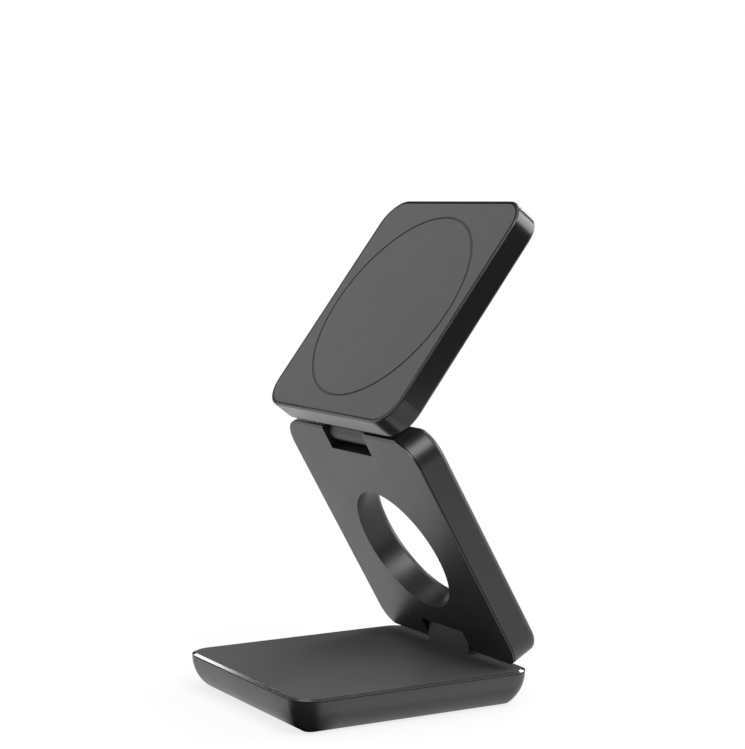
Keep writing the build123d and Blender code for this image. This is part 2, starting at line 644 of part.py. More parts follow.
with BuildPart() as watch_magnet:
    with BuildSketch(puck_frame.offset(PUCK_FLOOR)):
        Circle(WATCH_MAGNET_R)
    extrude(amount=cap_floor - PUCK_FLOOR)
save(watch_magnet, "watch_magnet")

# Screws through the panel's back into the puck
with BuildPart() as puck_screws:
    with BuildSketch(puck_frame.offset(-PANEL_BACK - PUCK_SCREW_HEAD_T)):
        with PolarLocations(PUCK_SCREW_OUT, PUCK_SCREWS):
            Circle(PUCK_SCREW_HEAD_R)
    extrude(amount=PUCK_SCREW_HEAD_T)
    with BuildSketch(puck_frame.offset(-PANEL_BACK)):
        with PolarLocations(PUCK_SCREW_OUT, PUCK_SCREWS):
            Circle(PUCK_SCREW_R)
    extrude(amount=PUCK_SCREW_L)
save(puck_screws, "puck_screws")
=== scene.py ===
import json
from math import asin, atan2, cos, pi, radians, sin

import bmesh
import bpy
from bpy.props import FloatProperty, FloatVectorProperty, IntProperty, PointerProperty
from mathutils import Matrix, Vector


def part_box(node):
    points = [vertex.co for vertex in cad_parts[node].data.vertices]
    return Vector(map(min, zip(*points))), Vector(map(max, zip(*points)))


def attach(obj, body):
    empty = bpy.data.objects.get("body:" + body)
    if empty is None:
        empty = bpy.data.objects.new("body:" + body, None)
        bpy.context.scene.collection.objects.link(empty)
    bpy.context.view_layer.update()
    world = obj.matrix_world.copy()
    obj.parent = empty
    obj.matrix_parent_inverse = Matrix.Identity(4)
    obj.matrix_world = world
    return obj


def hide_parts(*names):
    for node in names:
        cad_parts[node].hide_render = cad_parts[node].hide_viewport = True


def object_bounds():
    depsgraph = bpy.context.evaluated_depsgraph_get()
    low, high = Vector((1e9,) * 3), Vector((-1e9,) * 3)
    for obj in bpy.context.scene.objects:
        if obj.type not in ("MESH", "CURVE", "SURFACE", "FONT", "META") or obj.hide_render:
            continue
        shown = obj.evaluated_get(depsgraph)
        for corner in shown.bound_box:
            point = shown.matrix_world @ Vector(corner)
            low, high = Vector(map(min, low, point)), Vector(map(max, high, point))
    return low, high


bl_info = {
    "name": "Folding Wireless Charger",
    "version": (1, 0, 0),
    "blender": (4, 5, 0),
    "location": "View3D > Sidebar > Charger",
    "description": "Finishes a folding three in one wireless charger and sets it on a studio stage",
    "category": "Object",
}

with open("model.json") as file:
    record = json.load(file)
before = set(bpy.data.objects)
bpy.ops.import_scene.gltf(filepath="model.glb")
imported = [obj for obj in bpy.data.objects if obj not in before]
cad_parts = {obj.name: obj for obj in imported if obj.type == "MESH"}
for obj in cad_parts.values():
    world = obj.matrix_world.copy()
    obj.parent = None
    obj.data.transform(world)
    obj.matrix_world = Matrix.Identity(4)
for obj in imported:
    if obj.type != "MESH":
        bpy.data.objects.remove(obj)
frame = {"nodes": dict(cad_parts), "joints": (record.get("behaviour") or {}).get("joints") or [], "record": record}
cad_low, cad_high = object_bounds()

MM = 0.001
FILM_LONG_SIDE = 36.0  # millimetres, across the image's longer side

hinges = {joint["name"]: Vector(joint["pos_m"]) for joint in frame["joints"]}
arm_way = hinges["panel_hinge"] - hinges["base_hinge"]
ARM_TILT = atan2(arm_way.z, arm_way.y)  # turns +y to the arm's length
front_mount = next(mount for mount in frame["record"]["mounts"] if mount["name"] == "phone_face")
PANEL_TILT = atan2(-front_mount["axis"][1], front_mount["axis"][2])  # turns +z to the panel's front

# the body that each coil rides on, and the tilt of its axes
COILS = {
    "earbud_coil": ("base", 0.0),
    "phone_coil": ("panel", PANEL_TILT),
    "watch_coil": ("panel", PANEL_TILT),
}


def linear(hex_colour):
    """Turn an sRGB hex colour into linear red, green and blue."""
    channels = [int(hex_colour[i:i + 2], 16) / 255 for i in (1, 3, 5)]
    return [c / 12.92 if c <= 0.04045 else ((c + 0.055) / 1.055) ** 2.4 for c in channels]


class ChargerFinish(bpy.types.PropertyGroup):
    """Colours and textures of the charger."""

    shell_colour: FloatVectorProperty(
        name="Shells", description="Satin moulded shells", subtype="COLOR", default=linear("#1b1b1c")
    )
    # the panel's default colour is darker than the shells' colour: painted shade on the same plastic
    panel_shaded_colour: FloatVectorProperty(
        name="Panel", description="Fine satin shell of the panel", subtype="COLOR", default=linear("#171718")
    )
    lid_colour: FloatVectorProperty(
        name="Lid", description="Matte lid of the base", subtype="COLOR", default=linear("#3c3c3e")
    )
    face_colour: FloatVectorProperty(
        name="Face", description="Soft face of the panel", subtype="COLOR", default=linear("#2b2b2d")
    )
    cap_colour: FloatVectorProperty(
        name="Cap", description="Polished cap of the puck", subtype="COLOR", default=linear("#151517")
    )
    cap_edge: FloatProperty(
        name="Cap edge", description="Easing of the cap's rim", default=0.2 * MM, unit="LENGTH", precision=5
    )
    foot_colour: FloatVectorProperty(
        name="Foot", description="Rubber foot pad", subtype="COLOR", default=linear("#202021")
    )
    hinge_colour: FloatVectorProperty(
        name="Knuckles", description="Black coated knuckles", subtype="COLOR", default=linear("#1c1c1e")
    )
    grain: FloatProperty(
        name="Grain", description="Grain of the moulded texture in millimetres", default=0.5, min=0.05
    )


class ChargerWire(bpy.types.PropertyGroup):
    """Wire of the coils and contacts of the inlet."""

    wire_sides: IntProperty(name="Facets", description="Sides of a round wire", default=8, min=6)
    steps: IntProperty(name="Steps", description="Steps round a turn of wire", default=72, min=24)
    contacts: IntProperty(
        name="Contacts", description="Contacts on each side of the tongue", default=12, min=1
    )
    contact_pitch: FloatProperty(
        name="Pitch", description="From contact to contact", default=0.5 * MM, unit="LENGTH", precision=5
    )
    contact_length: FloatProperty(
        name="Length", description="Length of a contact", default=3.2 * MM, unit="LENGTH", precision=5
    )


class ChargerStage(bpy.types.PropertyGroup):
    """Camera, lamps and floor of the studio."""

    camera_place: FloatVectorProperty(
        name="Camera", description="Camera's place in the frame", subtype="TRANSLATION", unit="LENGTH",
        default=(0.423894, -0.238456, 0.121372),
    )
    camera_target: FloatVectorProperty(
        name="Target", description="Point at the middle of the picture", subtype="TRANSLATION", unit="LENGTH",
        default=(-0.060, 0.03917, 0.072855),
    )
    lens: FloatProperty(name="Lens", description="Focal length in millimetres", default=96.57, unit="CAMERA")
    paper_colour: FloatVectorProperty(
        name="Floor", description="Pale paper of the floor", subtype="COLOR", default=linear("#f0f0f0")
    )
    world_light: FloatProperty(name="World", description="Light from all round", default=0.5, min=0.0)


def opaque(colour, share=1.0):
    """Give a linear colour, or a share of it, the alpha that a colour socket wants."""
    return (*[share * channel for channel in colour], 1.0)


def add_node(tree, kind, settings=(), links=()):
    """Add a node, set its properties or input sockets by name, and link sockets into it."""
    node = tree.nodes.new(kind)
    for name, value in dict(settings).items():
        if isinstance(name, int) or name in node.inputs:
            node.inputs[name].default_value = value
        else:
            setattr(node, name, value)
    for name, source in dict(links).items():
        tree.links.new(source, node.inputs[name])
    return node


def start_finish(name, centre=Vector(), tilt=0.0, **shader_settings):
    """Start a material: its tree, its shader, and millimetres from a centre in axes tilted about x."""
    material = bpy.data.materials.new(name)
    material.use_nodes = True
    tree = material.node_tree
    tree.nodes.clear()
    settings = {
        key.replace("_", " ").title().replace("Ior", "IOR"): value
        for key, value in shader_settings.items()
    }
    shader = add_node(tree, "ShaderNodeBsdfPrincipled", settings)
    add_node(tree, "ShaderNodeOutputMaterial", links={"Surface": shader.outputs["BSDF"]})
    place = add_node(tree, "ShaderNodeTexCoord").outputs["Object"]
    in_mm = add_node(
        tree, "ShaderNodeMapping",
        {"vector_type": "TEXTURE", "Location": centre, "Rotation": (tilt, 0, 0), "Scale": (MM,) * 3},
        {"Vector": place},
    )
    return material, tree, shader, in_mm.outputs["Vector"]


def vary_colour(tree, shader, pattern, dark, light):
    """Let the base colour run from dark to light as a pattern does."""
    mix = add_node(tree, "ShaderNodeMix", {"data_type": "RGBA", 6: dark, 7: light}, {0: pattern})
    tree.links.new(mix.outputs[2], shader.inputs["Base Color"])


def vary_gloss(tree, shader, pattern, low, high):
    """Let the roughness run from low to high over the middle of a pattern."""
    start, end = 0.3, 0.7
    gloss = add_node(
        tree, "ShaderNodeMapRange",
        {"From Min": start, "From Max": end, "To Min": low, "To Max": high}, {"Value": pattern},
    )
    tree.links.new(gloss.outputs["Result"], shader.inputs["Roughness"])


def raise_relief(tree, shader, pattern, depth):
    """Let a pattern stand out from the surface by a depth in millimetres."""
    relief = add_node(tree, "ShaderNodeBump", {"Strength": 1.0, "Distance": depth * MM}, {"Height": pattern})
    tree.links.new(relief.outputs["Normal"], shader.inputs["Normal"])
    return relief


def satin_abs(name, colour, grain, gloss):
    """ABS from a spark-eroded tool: near black, with a soft broad sheen and a faint sparkle of grain."""
    material, tree, shader, in_mm = start_finish(name, ior=1.52)
    # the tool's own grain is about 0.1 mm, drawn coarser so that it shows
    sparks = add_node(tree, "ShaderNodeTexNoise", {"Scale": 1 / grain, "Detail": 2.0}, {"Vector": in_mm})
    flow = add_node(tree, "ShaderNodeTexNoise", {"Scale": 1 / 14.0, "Detail": 2.0}, {"Vector": in_mm})
    vary_colour(tree, shader, sparks.outputs[0], opaque(colour, 0.7), opaque(colour, 1.3))
    vary_gloss(tree, shader, flow.outputs[0], gloss - 0.03, gloss + 0.03)
    raise_relief(tree, shader, sparks.outputs[0], 0.01)
    return material


def etched_abs(colour, grain):
    """ABS moulded in a tool that is etched but for the rim: a flat dull top, and a rim that shines."""
    lid_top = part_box("base_lid")[1].z
    material, tree, shader, in_mm = start_finish("etched_lid_abs", Vector((0, 0, lid_top)), ior=1.58)
    # the etching is finer than this, drawn coarser so that it shows
    etching = add_node(tree, "ShaderNodeTexNoise", {"Scale": 1 / grain, "Detail": 3.0}, {"Vector": in_mm})
    vary_colour(tree, shader, etching.outputs[0], opaque(colour, 0.5), opaque(colour, 1.5))
    level = add_node(tree, "ShaderNodeSeparateXYZ", links={0: in_mm})
    # it ends a little below the top, where the rim begins to slope
    etched = add_node(
        tree, "ShaderNodeMapRange", {"From Min": -0.1, "From Max": -0.02}, {"Value": level.outputs["Z"]}
    )
    vary_gloss(tree, shader, etched.outputs["Result"], 0.1, 0.62)
    relief = raise_relief(tree, shader, etching.outputs[0], 0.03)
    tree.links.new(etched.outputs["Result"], relief.inputs["Strength"])
    return material


def soft_silicone(colour):
    """Silicone skin with a powdery touch: no hot spots, a pale bloom at a low angle and a few fine pores."""
    material, tree, shader, in_mm = start_finish(
        "soft_touch_silicone", face_centre(), PANEL_TILT, ior=1.41, sheen_weight=0.25, sheen_roughness=0.5
    )
    # the pores are finer than this, drawn coarser so that they show
    pores = add_node(tree, "ShaderNodeTexVoronoi", {"Scale": 1 / 0.6}, {"Vector": in_mm})
    bloom = add_node(tree, "ShaderNodeTexNoise", {"Scale": 1 / 9.0, "Detail": 3.0}, {"Vector": in_mm})
    vary_colour(tree, shader, bloom.outputs[0], opaque(colour, 0.9), opaque(colour, 1.15))
    vary_gloss(tree, shader, bloom.outputs[0], 0.68, 0.78)
    raise_relief(tree, shader, pores.outputs["Distance"], 0.006)
    return material


def polished_polycarbonate(colour):
    """Polycarbonate with a polished dish: deep black gloss with hairlines left round it by wiping."""
    centre = middle("watch_puck_cap")
    material, tree, shader, in_mm = start_finish("polished_polycarbonate", centre, PANEL_TILT, ior=1.585)
    # hairlines are too fine to show one by one, so broad bands of them are drawn
    rings = add_node(
        tree, "ShaderNodeTexWave",
        {"wave_type": "RINGS", "rings_direction": "Z", "Scale": 1 / 2.5, "Distortion": 6.0, "Detail": 3.0},
        {"Vector": in_mm},
    )
    vary_colour(tree, shader, rings.outputs[0], opaque(colour, 0.97), opaque(colour, 1.03))
    vary_gloss(tree, shader, rings.outputs[0], 0.17, 0.185)
    return material


def dimpled_rubber(colour):
    """Thermoplastic rubber moulded with small dimples for grip: dull, dark and a little dusty."""
    material, tree, shader, in_mm = start_finish("dimpled_foot_rubber", ior=1.52)
    dimples = add_node(
        tree, "ShaderNodeTexVoronoi", {"Scale": 1 / 1.2, "Randomness": 0.0}, {"Vector": in_mm}
    )
    dust = add_node(tree, "ShaderNodeTexNoise", {"Scale": 1 / 7.0, "Detail": 4.0}, {"Vector": in_mm})
    vary_colour(tree, shader, dust.outputs[0], opaque(colour, 0.85), opaque(colour, 1.25))
    vary_gloss(tree, shader, dust.outputs[0], 0.78, 0.92)
    raise_relief(tree, shader, dimples.outputs["Distance"], 0.12)
    return material


def coated_zinc(colour):
    """Die-cast zinc under black powder coat: satin, with the slight orange peel of the coat."""
    material, tree, shader, in_mm = start_finish("powder_coated_zinc", ior=1.5)
    peel = add_node(tree, "ShaderNodeTexNoise", {"Scale": 1 / 0.7, "Detail": 1.0}, {"Vector": in_mm})
    vary_colour(tree, shader, peel.outputs[0], opaque(colour, 0.9), opaque(colour, 1.1))
    vary_gloss(tree, shader, peel.outputs[0], 0.38, 0.5)
    raise_relief(tree, shader, peel.outputs[0], 0.005)
    return material


def ground_steel():
    """Hardened steel ground along its length: bright, with fine lines that stretch its highlights."""
    material, tree, shader, in_mm = start_finish("ground_steel", metallic=1.0)
    lines = add_node(tree, "ShaderNodeMapping", {"Scale": (0.1, 4.0, 4.0)}, {"Vector": in_mm})
    grit = add_node(tree, "ShaderNodeTexNoise", {"Scale": 1.0, "Detail": 3.0}, {"Vector": lines.outputs[0]})
    bright = linear("#c9cacc")
    vary_colour(tree, shader, grit.outputs[0], opaque(bright, 0.88), opaque(bright))
    vary_gloss(tree, shader, grit.outputs[0], 0.18, 0.34)
    raise_relief(tree, shader, grit.outputs[0], 0.002)
    return material


def zinc_plated_steel():
    """Pressed steel under clear zinc plating: pale grey with faint cloudy spangles."""
    material, tree, shader, in_mm = start_finish("zinc_plated_steel", metallic=1.0)
    spangle = add_node(tree, "ShaderNodeTexVoronoi", {"Scale": 1 / 2.2}, {"Vector": in_mm})
    cool, warm = opaque(linear("#b4b8be")), opaque(linear("#c8c6c0"))
    vary_colour(tree, shader, spangle.outputs["Color"], cool, warm)
    vary_gloss(tree, shader, spangle.outputs["Color"], 0.28, 0.42)
    return material


def drawn_nickel_shell():
    """Stainless strip, drawn and nickel plated: a small bright mouth with lines along the draw."""
    material, tree, shader, in_mm = start_finish("nickel_plated_shell", metallic=1.0)
    lines = add_node(tree, "ShaderNodeMapping", {"Scale": (6.0, 0.2, 6.0)}, {"Vector": in_mm})
    draw = add_node(tree, "ShaderNodeTexNoise", {"Scale": 1.0, "Detail": 2.0}, {"Vector": lines.outputs[0]})
    nickel = linear("#cfcac2")
    vary_colour(tree, shader, draw.outputs[0], opaque(nickel, 0.9), opaque(nickel))
    vary_gloss(tree, shader, draw.outputs[0], 0.16, 0.28)
    return material


def sintered_bronze():
    """Pressed and sintered bronze powder: warm, dull and full of oil-dark pores."""
    material, tree, shader, in_mm = start_finish("sintered_bronze", metallic=1.0)
    pores = add_node(tree, "ShaderNodeTexVoronoi", {"Scale": 1 / 0.3}, {"Vector": in_mm})
    vary_colour(
        tree, shader, pores.outputs["Distance"], opaque(linear("#6d5230")), opaque(linear("#b98a50"))
    )
    vary_gloss(tree, shader, pores.outputs["Distance"], 0.55, 0.4)
    raise_relief(tree, shader, pores.outputs["Distance"], 0.02)
    return material


def enamelled_copper():
    """Copper wire under clear enamel: warm metal with a glossy coat that yellows a little here and there."""
    material, tree, shader, in_mm = start_finish(
        "enamelled_copper", metallic=1.0, coat_weight=0.8, coat_roughness=0.15, coat_ior=1.55
    )
    tone = add_node(tree, "ShaderNodeTexNoise", {"Scale": 1 / 4.0, "Detail": 2.0}, {"Vector": in_mm})
    vary_colour(tree, shader, tone.outputs[0], opaque(linear("#b0603a")), opaque(linear("#d08a5c")))
    vary_gloss(tree, shader, tone.outputs[0], 0.25, 0.4)
    return material


def ferrite_sheet():
    """Sintered ferrite under film, cracked into small tiles to bend: dark grey with hairline joints."""
    material, tree, shader, in_mm = start_finish("cracked_ferrite_sheet", ior=1.6)
    cracks = add_node(
        tree, "ShaderNodeTexVoronoi", {"feature": "DISTANCE_TO_EDGE", "Scale": 1 / 2.5}, {"Vector": in_mm}
    )
    joint = add_node(
        tree, "ShaderNodeMapRange", {"From Min": 0.0, "From Max": 0.06}, {"Value": cracks.outputs["Distance"]}
    )
    vary_colour(
        tree, shader, joint.outputs["Result"], opaque(linear("#121214")), opaque(linear("#353539"))
    )
    vary_gloss(tree, shader, joint.outputs["Result"], 0.7, 0.4)
    return material


def plated_magnet():
    """Neodymium magnets plated with nickel: silver, smooth, and lightly clouded by tumbling."""
    material, tree, shader, in_mm = start_finish("nickel_plated_magnet", metallic=1.0)
    cloud = add_node(tree, "ShaderNodeTexNoise", {"Scale": 1 / 1.5, "Detail": 3.0}, {"Vector": in_mm})
    silver = linear("#d2cec6")
    vary_colour(tree, shader, cloud.outputs[0], opaque(silver, 0.9), opaque(silver))
    vary_gloss(tree, shader, cloud.outputs[0], 0.14, 0.3)
    return material


def solder_mask_board(centre, tilt):
    """Fibreglass board under green solder mask: glossy, with paler tracks where copper runs below."""
    material, tree, shader, in_mm = start_finish("solder_mask_board", centre, tilt, ior=1.55)
    tracks = add_node(
        tree, "ShaderNodeTexBrick",
        {"Scale": 1.0, "Mortar Size": 0.12, "Brick Width": 3.2, "Row Height": 0.8,
         "Color1": (0, 0, 0, 1), "Color2": (0.25, 0.25, 0.25, 1), "Mortar": (1, 1, 1, 1)},
        {"Vector": in_mm},
    )
    vary_colour(
        tree, shader, tracks.outputs["Color"], opaque(linear("#12402a")), opaque(linear("#2c7048"))
    )
    vary_gloss(tree, shader, tracks.outputs["Color"], 0.28, 0.36)
    raise_relief(tree, shader, tracks.outputs["Color"], 0.02)
    return material


def polyimide_film():
    """Polyimide film over copper lines: clear amber with darker stripes along its length."""
    material, tree, shader, in_mm = start_finish(
        "polyimide_flat_cable", hinges["base_hinge"], ARM_TILT, ior=1.7
    )
    lines = add_node(
        tree, "ShaderNodeTexWave", {"bands_direction": "X", "Scale": 1 / 2.5, "Distortion": 0.0},
        {"Vector": in_mm},
    )
    vary_colour(
        tree, shader, lines.outputs[0], opaque(linear("#8a4f12")), opaque(linear("#c98a2c"))
    )
    vary_gloss(tree, shader, lines.outputs[0], 0.18, 0.3)
    raise_relief(tree, shader, lines.outputs[0], 0.02)
    return material


def socket_resin():
    """Liquid crystal polymer, the black resin of socket tongues: dull, with flow marks along the tongue."""
    material, tree, shader, in_mm = start_finish("socket_resin", ior=1.6)
    stretch = add_node(tree, "ShaderNodeMapping", {"Scale": (3.0, 0.4, 3.0)}, {"Vector": in_mm})
    flow = add_node(tree, "ShaderNodeTexNoise", {"Scale": 1.0, "Detail": 3.0}, {"Vector": stretch.outputs[0]})
    resin = linear("#1a1a1b")
    vary_colour(tree, shader, flow.outputs[0], opaque(resin, 0.8), opaque(resin, 1.3))
    vary_gloss(tree, shader, flow.outputs[0], 0.5, 0.65)
    return material


def contact_gold():
    """Thin gold over nickel: yellow and bright, rubbed a little duller where plugs slide."""
    material, tree, shader, in_mm = start_finish("gold_plated_contact", metallic=1.0)
    rub = add_node(tree, "ShaderNodeTexNoise", {"Scale": 1 / 0.3, "Detail": 2.0}, {"Vector": in_mm})
    gold = linear("#e3bd6a")
    vary_colour(tree, shader, rub.outputs[0], opaque(gold, 0.85), opaque(gold))
    vary_gloss(tree, shader, rub.outputs[0], 0.2, 0.36)
    return material


def middle(node):
    """The middle of a CAD node's box."""
    low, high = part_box(node)
    return (low + high) / 2


def face_centre():
    """The middle of the panel's face."""
    return Vector(front_mount["pos_m"])


def own_axes(node, tilt):
    """A CAD node's middle as a matrix of axes tilted about x, and its points measured in them."""
    place = Matrix.Translation(middle(node)) @ Matrix.Rotation(tilt, 4, "X")
    return place, [place.inverted() @ vert.co for vert in frame["nodes"][node].data.vertices]


def paint(material, *names):
    """Give CAD nodes a finish."""
    for name in names:
        mesh = frame["nodes"][name].data
        mesh.materials.clear()
        mesh.materials.append(material)


def add_piece(bm, name, body, material):
    """Make an object of a bmesh, smooth, painted and riding on a body."""
    bmesh.ops.recalc_face_normals(bm, faces=bm.faces)
    mesh = bpy.data.meshes.new(name)
    bm.to_mesh(mesh)
    bm.free()
    mesh.shade_smooth()
    mesh.materials.append(material)
    piece = bpy.data.objects.new(name, mesh)
    bpy.context.scene.collection.objects.link(piece)
    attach(piece, body)
    return piece


class CHARGER_OT_shells(bpy.types.Operator):
    """Finish the moulded shells, the lid and the arm's front plate"""

    bl_idname = "charger.shells"
    bl_label = "Finish Shells"

    def execute(self, context):
        finish = context.scene.charger_finish
        satin = satin_abs("satin_moulded_abs", finish.shell_colour, finish.grain, 0.35)
        paint(satin, "base_tray", "arm_rear_shell", "arm_front_plate")
        # the panel comes from a finer tool, so it is glossier; its colour is darker than the other shells' as
        # painted shade, so that its sides stay darker between their highlights
        sleek_shaded = satin_abs("fine_satin_abs_painted_shade", finish.panel_shaded_colour, finish.grain, 0.24)
        paint(sleek_shaded, "panel_shell", "watch_puck_housing")
        paint(etched_abs(finish.lid_colour, finish.grain), "base_lid")
        return {"FINISHED"}


class CHARGER_OT_contact_faces(bpy.types.Operator):
    """Finish the panel's face and the foot pad"""

    bl_idname = "charger.contact_faces"
    bl_label = "Finish Contact Faces"

    def execute(self, context):
        finish = context.scene.charger_finish
        paint(soft_silicone(finish.face_colour), "panel_face")
        paint(dimpled_rubber(finish.foot_colour), "foot_pad")
        return {"FINISHED"}


class CHARGER_OT_puck_cap(bpy.types.Operator):
    """Turn the puck's cap, with its dish and its eased rim"""

    bl_idname = "charger.puck_cap"
    bl_label = "Turn Puck Cap"

    def execute(self, context):
        finish = context.scene.charger_finish
        place, points = own_axes("watch_puck_cap", PANEL_TILT)
        reach = max(point.xy.length for point in points)
        rim, floor = min(point.z for point in points), max(point.z for point in points)
        dish_floor = min(points, key=lambda point: point.xy.length).z
        near, weld = 0.01 * MM, 0.001 * MM
        dish_reach = min(point.xy.length for point in points if point.z < rim + near)
        dish_depth = dish_floor - rim
        dish_radius = (dish_reach ** 2 + dish_depth ** 2) / (2 * dish_depth)
        dish_steps, turn_steps, rim_steps = 16, 128, 4
        sharp = radians(50)

        bm = bmesh.new()
        bowl = [bm.verts.new((0, 0, dish_floor))]
        arc = bmesh.ops.spin(
            bm, geom=bowl, cent=(0, 0, dish_floor - dish_radius), axis=(0, 1, 0),
            angle=-asin(dish_reach / dish_radius), steps=dish_steps,
        )
        corner = next(item for item in arc["geom_last"] if isinstance(item, bmesh.types.BMVert))
        side = 1 if corner.co.x > 0 else -1
        for spot in ((side * reach, 0, rim), (side * reach, 0, floor), (0, 0, floor)):
            step = bm.verts.new(spot)
            bm.edges.new((corner, step))
            corner = step
        profile = [*bm.verts, *bm.edges]
        bmesh.ops.spin(bm, geom=profile, axis=(0, 0, 1), angle=2 * pi, steps=turn_steps, use_merge=True)
        bmesh.ops.remove_doubles(bm, verts=bm.verts, dist=weld)
        outer = {
            vert for vert in bm.verts
            if abs(vert.co.z - rim) < near and abs(vert.co.xy.length - reach) < near
        }
        edge_ring = [edge for edge in bm.edges if outer.issuperset(edge.verts)]
        bmesh.ops.bevel(
            bm, geom=edge_ring, offset=finish.cap_edge, affect="EDGES", segments=rim_steps,
            profile=0.5, material=-1,
        )
        bmesh.ops.transform(bm, matrix=place, verts=bm.verts)
        cap = add_piece(
            bm, "watch_puck_dish", "panel", polished_polycarbonate(finish.cap_colour)
        )
        cap.data.set_sharp_from_angle(angle=sharp)
        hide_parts("watch_puck_cap")
        return {"FINISHED"}


class CHARGER_OT_hinges(bpy.types.Operator):
    """Finish the knuckles, pins, bushes and washers of both hinges"""

    bl_idname = "charger.hinges"
    bl_label = "Finish Hinges"

    def execute(self, context):
        finish = context.scene.charger_finish
        paint(coated_zinc(finish.hinge_colour), "base_hinge_knuckle", "panel_hinge_knuckle")
        steel, bronze = ground_steel(), sintered_bronze()
        for hinge in hinges:
            paint(steel, f"{hinge}_pin", f"{hinge}_washers")
            paint(bronze, f"{hinge}_bushes")
        return {"FINISHED"}


class CHARGER_OT_electronics(bpy.types.Operator):
    """Finish the boards, the flat cable, the magnets, the ferrite, the weight and the screws"""

    bl_idname = "charger.electronics"
    bl_label = "Finish Electronics"

    def execute(self, context):
        paint(solder_mask_board(middle("main_board"), 0.0), "main_board")
        paint(solder_mask_board(middle("panel_board"), PANEL_TILT), "panel_board")
        paint(polyimide_film(), "arm_flex_cable")
        paint(plated_magnet(), "magnet_ring", "watch_magnet")
        paint(ferrite_sheet(), "earbud_ferrite", "phone_ferrite")
        paint(zinc_plated_steel(), "counterweight", "base_screws", "puck_screws")
        return {"FINISHED"}


class CHARGER_OT_windings(bpy.types.Operator):
    """Wind round wire in the flat rings that hold the three coils"""

    bl_idname = "charger.windings"
    bl_label = "Wind Coils"

    def execute(self, context):
        wire_set = context.scene.charger_wire
        copper = enamelled_copper()
        upright = Matrix.Rotation(pi / 2, 4, "X")
        for node, (body, tilt) in COILS.items():
            place, ring = own_axes(node, tilt)
            bore = min(point.xy.length for point in ring)
            reach = max(point.xy.length for point in ring)
            wire = 2 * max(point.z for point in ring)
            turns = int((reach - bore) / wire)
            pitch = (reach - bore) / turns
            bm = bmesh.new()
            for turn in range(turns):
                section = Matrix.Translation((bore + pitch * (turn + 0.5), 0, 0)) @ upright
                loop = bmesh.ops.create_circle(
                    bm, radius=wire / 2, segments=wire_set.wire_sides, matrix=section
                )
                edges = {edge for vert in loop["verts"] for edge in vert.link_edges}
                bmesh.ops.spin(
                    bm, geom=[*loop["verts"], *edges], axis=(0, 0, 1), angle=2 * pi,
                    steps=wire_set.steps, use_merge=True,
                )
            bmesh.ops.transform(bm, matrix=place, verts=bm.verts)
            winding = add_piece(bm, f"{node}_winding", body, copper)
            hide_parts(node)
        return {"FINISHED"}


class CHARGER_OT_inlet(bpy.types.Operator):
    """Finish the power inlet and lay the contacts on its tongue"""

    bl_idname = "charger.inlet"
    bl_label = "Finish Inlet"

    def execute(self, context):
        wire_set = context.scene.charger_wire
        paint(drawn_nickel_shell(), "usb_c_socket")
        paint(socket_resin(), "usb_c_tongue")
        low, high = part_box("usb_c_tongue")
        width, height, from_tip, edge = 0.3 * MM, 0.06 * MM, 0.4 * MM, 0.02 * MM
        size = Matrix.Diagonal((width, wire_set.contact_length, height, 1))
        bm = bmesh.new()
        for level in (low.z, high.z):
            for place in range(wire_set.contacts):
                x = (place - (wire_set.contacts - 1) / 2) * wire_set.contact_pitch
                y = high.y - from_tip - wire_set.contact_length / 2
                bmesh.ops.create_cube(bm, size=1.0, matrix=Matrix.Translation((x, y, level)) @ size)
        bmesh.ops.bevel(
            bm, geom=bm.edges[:], offset=edge, affect="EDGES", segments=1, profile=0.5, material=-1
        )
        add_piece(bm, "inlet_contacts", "base", contact_gold())
        return {"FINISHED"}


def aim(eye, target):
    """Matrix of a lamp, card or camera at eye that looks at target."""
    turn = (target - eye).to_track_quat("-Z", "Y").to_matrix().to_4x4()
    return Matrix.Translation(eye) @ turn


def facing(azimuth, elevation, distance):
    """Matrix of a lamp or card that faces the charger's middle: azimuth 0 is the front, 90 the right."""
    a, e = radians(azimuth), radians(elevation)
    centre = (cad_low + cad_high) / 2
    return aim(centre + distance * Vector((sin(a) * cos(e), -cos(a) * cos(e), sin(e))), centre)


def lying(x, y):
    """Matrix of a lamp or card that lies just above the floor and faces up."""
    lift = 0.3 * MM
    return Matrix.Translation((x, y, lift)) @ Matrix.Rotation(pi, 4, "X")


def softbox(name, place, size, radiance):
    """A rectangular lamp, with its brightness given as radiance."""
    width, height = size
    lamp = bpy.data.lights.new(name, "AREA")
    lamp.shape = "RECTANGLE"
    lamp.size = width
    lamp.size_y = height
    lamp.energy = radiance * pi * width * height
    box = bpy.data.objects.new(name, lamp)
    box.matrix_world = place
    box.visible_camera = False
    bpy.context.scene.collection.objects.link(box)


def stage_sheet(name, width, height, place, material):
    """A flat sheet of the stage."""
    bm = bmesh.new()
    size = Matrix.Diagonal((width / 2, height / 2, 1, 1))
    bmesh.ops.create_grid(bm, x_segments=1, y_segments=1, size=1.0, matrix=place @ size)
    mesh = bpy.data.meshes.new(name)
    bm.to_mesh(mesh)
    bm.free()
    mesh.materials.append(material)
    sheet = bpy.data.objects.new(name, mesh)
    bpy.context.scene.collection.objects.link(sheet)
    return sheet


def show(tree, surface):
    """Make a shader's output the surface of a material."""
    output = next(node for node in tree.nodes if node.type == "OUTPUT_MATERIAL")
    tree.links.new(surface, output.inputs["Surface"])


def velvet_card(name, place, size):
    """A black card that only reflections see."""
    width, height = size
    material, tree, shader, in_mm = start_finish(
        f"{name}_velvet", place.translation, roughness=1.0, specular_ior_level=0.0
    )
    shader.inputs["Base Color"].default_value = opaque(linear("#0c0c0c"))
    card = stage_sheet(name, width, height, place, material)
    card.visible_camera = False
    card.visible_diffuse = False
    card.visible_shadow = False
    return tree, shader, in_mm


